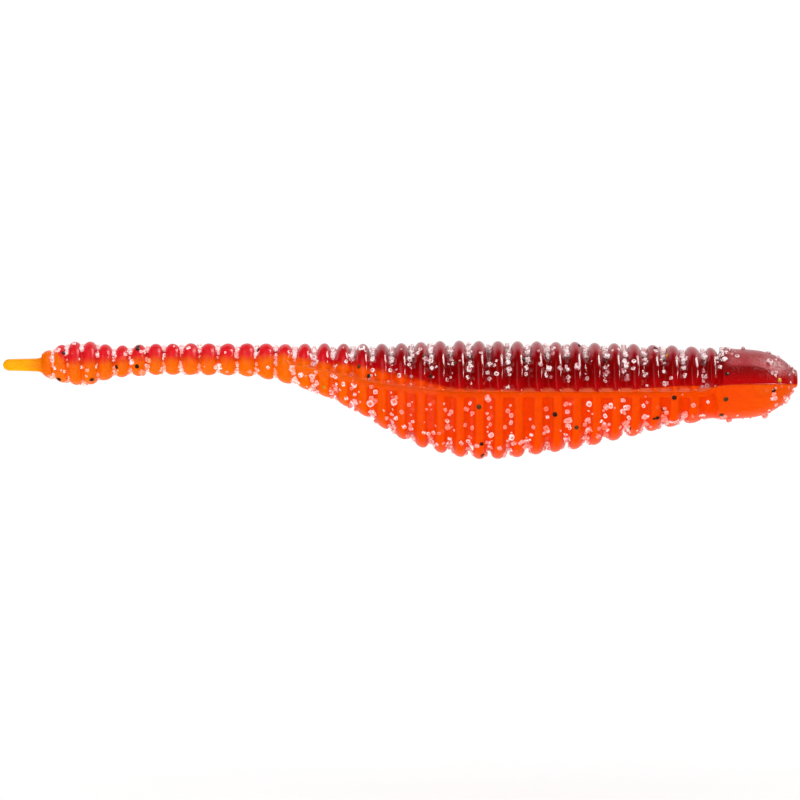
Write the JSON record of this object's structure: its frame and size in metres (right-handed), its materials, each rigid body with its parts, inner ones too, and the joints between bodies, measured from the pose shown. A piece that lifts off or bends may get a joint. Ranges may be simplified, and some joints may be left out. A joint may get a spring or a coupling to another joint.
{
  "type": "soft plastic worm",
  "caption": "Ribbed two-colour soft plastic fishing worm with a smooth head, a deep belly and a slim ringed tail that flexes.",
  "frame": {"origin": "centre of the small flat nose face", "axes": "+X out of the nose (the worm lies along X), +Z towards the red back, Y across; symmetric about Y = 0"},
  "size_m": [0.1, 0.0116, 0.0149],
  "materials": {
    "red_back": "glossy translucent cherry red soft plastic with dark flakes",
    "orange_belly": "glossy translucent orange soft plastic with dark flakes",
    "amber_peg": "glossy translucent amber soft plastic",
    "salt": "frosted white salt crystal, see-through",
    "flake": "dark glitter flake"
  },
  "bodies": {
    "front": {"head_back": "red_back", "head_belly": "orange_belly", "back_front": "red_back", "belly_front": "orange_belly"},
    "girth_1": {"back_girth_1": "red_back", "belly_girth_1": "orange_belly"},
    "girth_2": {"back_girth_2": "red_back", "belly_girth_2": "orange_belly"},
    "girth_3": {"back_girth_3": "red_back", "belly_girth_3": "orange_belly"},
    "girth_4": {"back_girth_4": "red_back", "belly_girth_4": "orange_belly"},
    "waist_1": {"back_waist_1": "red_back", "belly_waist_1": "orange_belly"},
    "waist_2": {"back_waist_2": "red_back", "belly_waist_2": "orange_belly"},
    "waist_3": {"back_waist_3": "red_back", "belly_waist_3": "orange_belly"},
    "tail_1": {"back_tail_1": "red_back", "belly_tail_1": "orange_belly"},
    "tail_2": {"back_tail_2": "red_back", "belly_tail_2": "orange_belly"},
    "tail_3": {"back_tail_3": "red_back", "belly_tail_3": "orange_belly"},
    "tail_4": {"back_tail_4": "red_back", "belly_tail_4": "orange_belly"},
    "tail_club": {"back_tail_club": "red_back", "belly_tail_club": "orange_belly", "tail_peg": "amber_peg"}
  },
  "joints": [
    {"name": "body_sway_1", "type": "hinge", "parent": "front", "child": "girth_1", "pos_m": [-0.02669, 0, -0.00214], "axis": [0, 0, 1], "range_deg": [-6, 6], "stiffness_Nm_per_rad": 0.051},
    {"name": "body_lift_1", "type": "hinge", "parent": "girth_1", "child": "girth_2", "pos_m": [-0.034, 0, -0.00264], "axis": [0, 1, 0], "range_deg": [-6, 6], "stiffness_Nm_per_rad": 0.07},
    {"name": "body_sway_2", "type": "hinge", "parent": "girth_2", "child": "girth_3", "pos_m": [-0.0413, 0, -0.00275], "axis": [0, 0, 1], "range_deg": [-6, 6], "stiffness_Nm_per_rad": 0.064},
    {"name": "body_lift_2", "type": "hinge", "parent": "girth_3", "child": "girth_4", "pos_m": [-0.04861, 0, -0.00192], "axis": [0, 1, 0], "range_deg": [-6, 6], "stiffness_Nm_per_rad": 0.039},
    {"name": "body_sway_3", "type": "hinge", "parent": "girth_4", "child": "waist_1", "pos_m": [-0.05348, 0, -0.00061], "axis": [0, 0, 1], "range_deg": [-8, 8], "stiffness_Nm_per_rad": 0.015},
    {"name": "body_lift_3", "type": "hinge", "parent": "waist_1", "child": "waist_2", "pos_m": [-0.05835, 0, 0.00071], "axis": [0, 1, 0], "range_deg": [-10, 10], "stiffness_Nm_per_rad": 0.0022},
    {"name": "tail_sway_1", "type": "hinge", "parent": "waist_2", "child": "waist_3", "pos_m": [-0.06322, 0, 0.00162], "axis": [0, 0, 1], "range_deg": [-15, 15], "stiffness_Nm_per_rad": 0.0019},
    {"name": "tail_lift_1", "type": "hinge", "parent": "waist_3", "child": "tail_1", "pos_m": [-0.06809, 0, 0.00232], "axis": [0, 1, 0], "range_deg": [-15, 15], "stiffness_Nm_per_rad": 0.0003},
    {"name": "tail_sway_2", "type": "hinge", "parent": "tail_1", "child": "tail_2", "pos_m": [-0.07288, 0, 0.00246], "axis": [0, 0, 1], "range_deg": [-15, 15], "stiffness_Nm_per_rad": 0.00021},
    {"name": "tail_lift_2", "type": "hinge", "parent": "tail_2", "child": "tail_3", "pos_m": [-0.07746, 0, 0.00247], "axis": [0, 1, 0], "range_deg": [-15, 15], "stiffness_Nm_per_rad": 0.00021},
    {"name": "tail_sway_3", "type": "hinge", "parent": "tail_3", "child": "tail_4", "pos_m": [-0.08182, 0, 0.00242], "axis": [0, 0, 1], "range_deg": [-15, 15], "stiffness_Nm_per_rad": 0.00019},
    {"name": "tail_lift_3", "type": "hinge", "parent": "tail_4", "child": "tail_club", "pos_m": [-0.08597, 0, 0.00214], "axis": [0, 1, 0], "range_deg": [-15, 15], "stiffness_Nm_per_rad": 0.00023}
  ],
  "couplings": [
    {"joint": "body_sway_2", "follows": "body_sway_1", "ratio": 1},
    {"joint": "body_lift_2", "follows": "body_lift_1", "ratio": 1},
    {"joint": "body_sway_3", "follows": "body_sway_1", "ratio": 1.3333},
    {"joint": "body_lift_3", "follows": "body_lift_1", "ratio": 1.6667},
    {"joint": "tail_sway_2", "follows": "tail_sway_1", "ratio": 1},
    {"joint": "tail_lift_2", "follows": "tail_lift_1", "ratio": 1},
    {"joint": "tail_sway_3", "follows": "tail_sway_1", "ratio": 1},
    {"joint": "tail_lift_3", "follows": "tail_lift_1", "ratio": 1}
  ]
}
